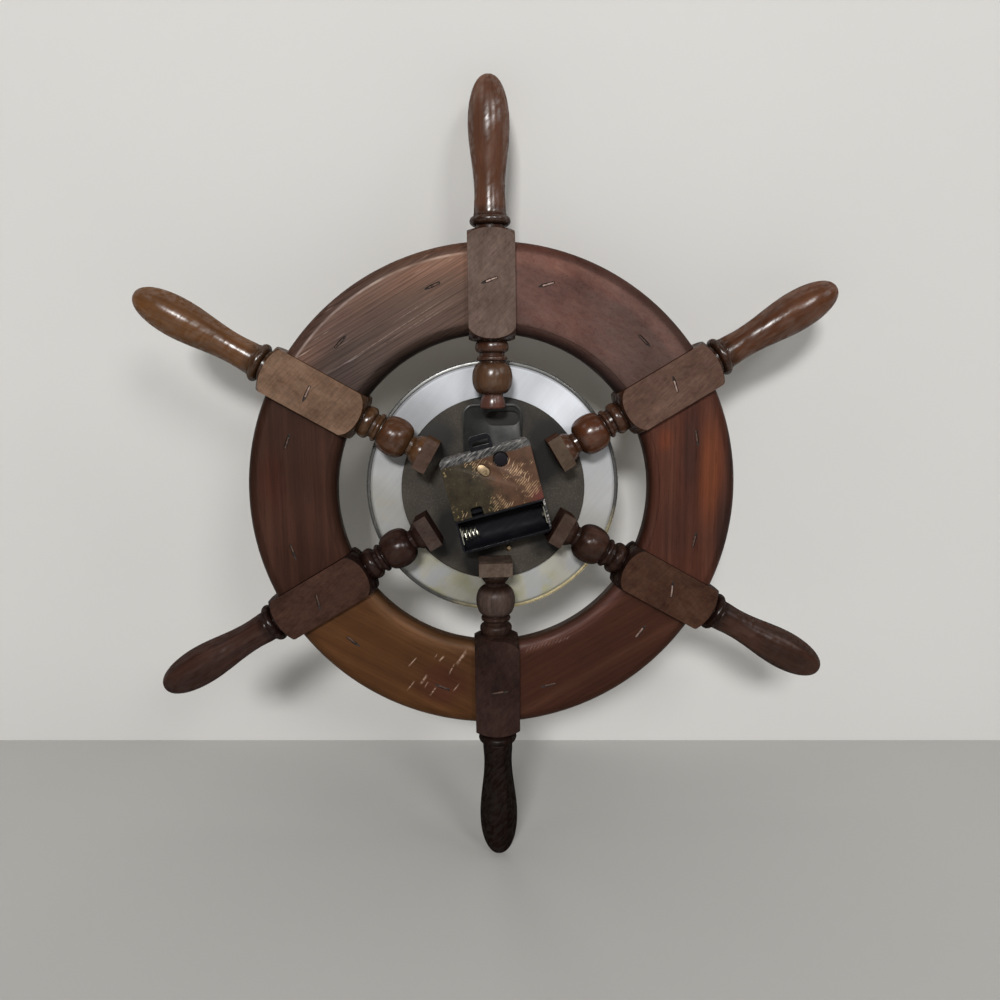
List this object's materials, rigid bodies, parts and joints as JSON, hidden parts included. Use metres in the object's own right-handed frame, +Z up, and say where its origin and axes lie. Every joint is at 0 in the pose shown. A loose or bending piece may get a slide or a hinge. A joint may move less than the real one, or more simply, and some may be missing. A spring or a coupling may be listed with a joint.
{
  "type": "wall clock",
  "caption": "Wooden ship's wheel with turned spokes and handles around a round quartz clock in its hub, hung on a wall by a bracket behind the movement.",
  "frame": {"origin": "middle of the overall box: on the wheel's centre line, half way between the lens and the backs of the spoke blocks", "axes": "+Z up along the spoke that points at twelve, +Y out of the back towards the wall, +X to the right as the dial is read"},
  "size_m": [0.398, 0.0468, 0.4572],
  "materials": {
    "rim_wood": "dark stained and varnished hardwood, satin, grain along each segment, scratched",
    "pale_spoke_wood": "worn stained hardwood, dry and pale on the square blocks, glossy brown on the handles",
    "dark_spoke_wood": "dark stained and varnished hardwood, satin",
    "hub_board": "dark grey-brown painted hardboard, dusty and matte",
    "screw_steel": "plain brass",
    "bracket_steel": "black paint on stamped steel, dusty",
    "pan_steel": "satin silver sheet",
    "bezel_brass": "polished brass, slightly dulled",
    "lens_glass": "clear domed glass",
    "dial_card": "cream card with plain black numbers",
    "shaft_brass": "turned brass",
    "hand_black": "black painted sheet",
    "case_plastic": "black moulded plastic, scuffed",
    "cover_foil": "cover faced with olive to copper coloured foil, worn",
    "clip_brass": "bright brass",
    "knob_plastic": "dark grey plastic",
    "contact_metal": "nickelled brass",
    "train_plastic": "white moulded plastic",
    "train_brass": "cut brass",
    "rotor_magnet": "dark sintered magnet on a plastic pinion",
    "stator_steel": "plain sheet",
    "coil_copper": "enamelled copper wire",
    "board_green": "green circuit board"
  },
  "bodies": {
    "clock": {"rim_segment_1": "rim_wood", "rim_segment_3": "rim_wood", "rim_segment_5": "rim_wood", "rim_segment_7": "rim_wood", "rim_segment_9": "rim_wood", "rim_segment_11": "rim_wood", "spoke_12": "pale_spoke_wood", "spoke_2": "pale_spoke_wood", "spoke_4": "dark_spoke_wood", "spoke_6": "dark_spoke_wood", "spoke_8": "dark_spoke_wood", "spoke_10": "pale_spoke_wood", "hub_plate": "hub_board", "hub_screw_2": "screw_steel", "hub_screw_4": "screw_steel", "hub_screw_6": "screw_steel", "hub_screw_8": "screw_steel", "hub_screw_10": "screw_steel", "hanger_bracket": "bracket_steel", "dial_pan": "pan_steel", "bezel": "bezel_brass", "lens": "lens_glass", "dial": "dial_card", "threaded_bush": "shaft_brass", "shaft_washer": "shaft_brass", "shaft_nut": "shaft_brass", "movement_case": "case_plastic", "back_cover": "cover_foil", "cover_clip": "clip_brass", "battery_spring": "contact_metal", "battery_plate": "contact_metal", "stator": "stator_steel", "coil": "coil_copper", "train_bridge": "case_plastic", "circuit_board": "board_green", "quartz_crystal": "stator_steel"},
    "second_hand": {"second_hand": "hand_black", "second_wheel": "train_plastic"},
    "fifth_wheel": {"fifth_wheel": "train_plastic"},
    "rotor": {"rotor": "rotor_magnet"},
    "third_wheel": {"third_wheel": "train_plastic"},
    "centre_wheel": {"centre_wheel": "train_brass"},
    "minute_hand": {"minute_hand": "hand_black", "cannon_pinion": "train_brass"},
    "minute_wheel": {"minute_wheel": "train_plastic"},
    "hour_hand": {"hour_hand": "hand_black", "hour_wheel": "train_plastic"},
    "set_knob": {"set_knob": "knob_plastic", "setting_wheel": "train_plastic"}
  },
  "joints": [
    {"name": "second_hand_turn", "type": "hinge", "parent": "clock", "child": "second_hand", "pos_m": [0, 0, 0], "axis": [0, 1, 0], "continuous": true},
    {"name": "fifth_wheel_turn", "type": "hinge", "parent": "clock", "child": "fifth_wheel", "pos_m": [0.00796, 0, 0.00228], "axis": [0, 1, 0], "continuous": true},
    {"name": "rotor_turn", "type": "hinge", "parent": "clock", "child": "rotor", "pos_m": [0.0154, 0, 0.00591], "axis": [0, 1, 0], "continuous": true},
    {"name": "third_wheel_turn", "type": "hinge", "parent": "clock", "child": "third_wheel", "pos_m": [-0.008, 0, 0.00127], "axis": [0, 1, 0], "continuous": true},
    {"name": "centre_wheel_turn", "type": "hinge", "parent": "clock", "child": "centre_wheel", "pos_m": [0, 0, 0], "axis": [0, 1, 0], "continuous": true},
    {"name": "minute_hand_turn", "type": "hinge", "parent": "clock", "child": "minute_hand", "pos_m": [0, 0, 0], "axis": [0, 1, 0], "continuous": true},
    {"name": "minute_wheel_turn", "type": "hinge", "parent": "clock", "child": "minute_wheel", "pos_m": [0.00028, 0, 0.00832], "axis": [0, 1, 0], "continuous": true},
    {"name": "hour_hand_turn", "type": "hinge", "parent": "clock", "child": "hour_hand", "pos_m": [0, 0, 0], "axis": [0, 1, 0], "continuous": true},
    {"name": "set_knob_turn", "type": "hinge", "parent": "clock", "child": "set_knob", "pos_m": [-0.00389, 0, 0.01952], "axis": [0, 1, 0], "continuous": true}
  ],
  "couplings": [
    {"joint": "fifth_wheel_turn", "follows": "second_hand_turn", "ratio": -5},
    {"joint": "rotor_turn", "follows": "second_hand_turn", "ratio": 30},
    {"joint": "third_wheel_turn", "follows": "second_hand_turn", "ratio": -0.13333},
    {"joint": "centre_wheel_turn", "follows": "second_hand_turn", "ratio": 0.016667},
    {"joint": "minute_wheel_turn", "follows": "minute_hand_turn", "ratio": -0.33333},
    {"joint": "hour_hand_turn", "follows": "minute_hand_turn", "ratio": 0.083333},
    {"joint": "set_knob_turn", "follows": "minute_hand_turn", "ratio": 0.36364}
  ]
}
